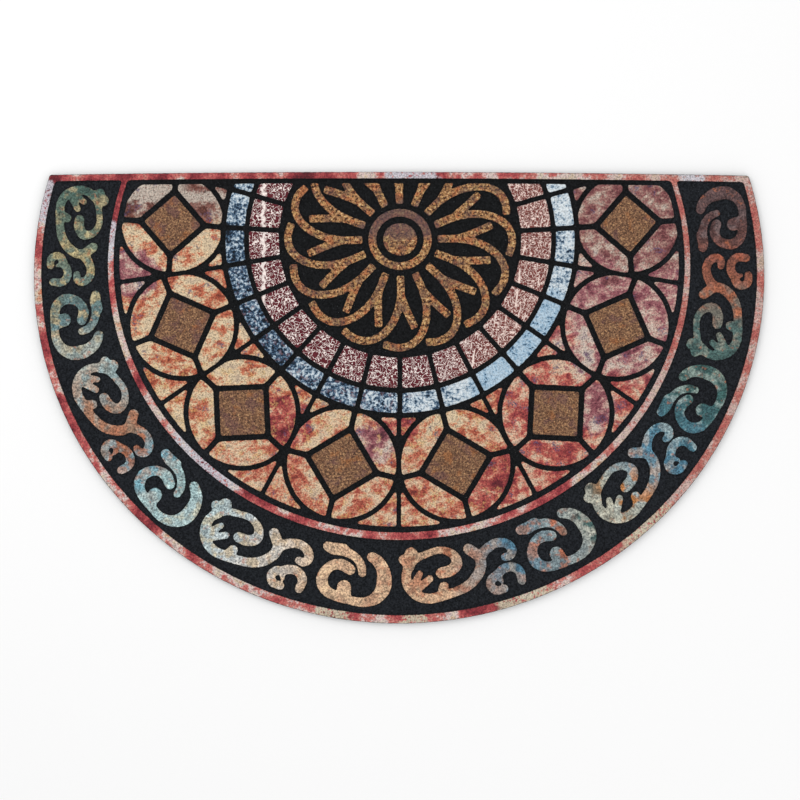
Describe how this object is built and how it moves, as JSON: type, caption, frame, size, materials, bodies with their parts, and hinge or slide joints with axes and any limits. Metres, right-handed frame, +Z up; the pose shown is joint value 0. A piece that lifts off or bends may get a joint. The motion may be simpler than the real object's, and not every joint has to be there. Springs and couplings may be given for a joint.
{
  "type": "half round entrance mat",
  "caption": "Half round moulded entrance mat with a raised rosette, block rings, round tiles and a scroll border, lying flat on the floor.",
  "frame": {"origin": "middle of the mat's box, on the floor under it", "axes": "+X along the straight edge, +Y from the round side to the straight edge, +Z up out of the patterned face"},
  "size_m": [0.9896, 0.612, 0.008],
  "materials": {
    "mat": "short printed fibre flock on rubber, in rust, cream, brown, burgundy and blue on a near-black ground"
  },
  "bodies": {
    "root": {"mat": "mat"}
  },
  "joints": []
}
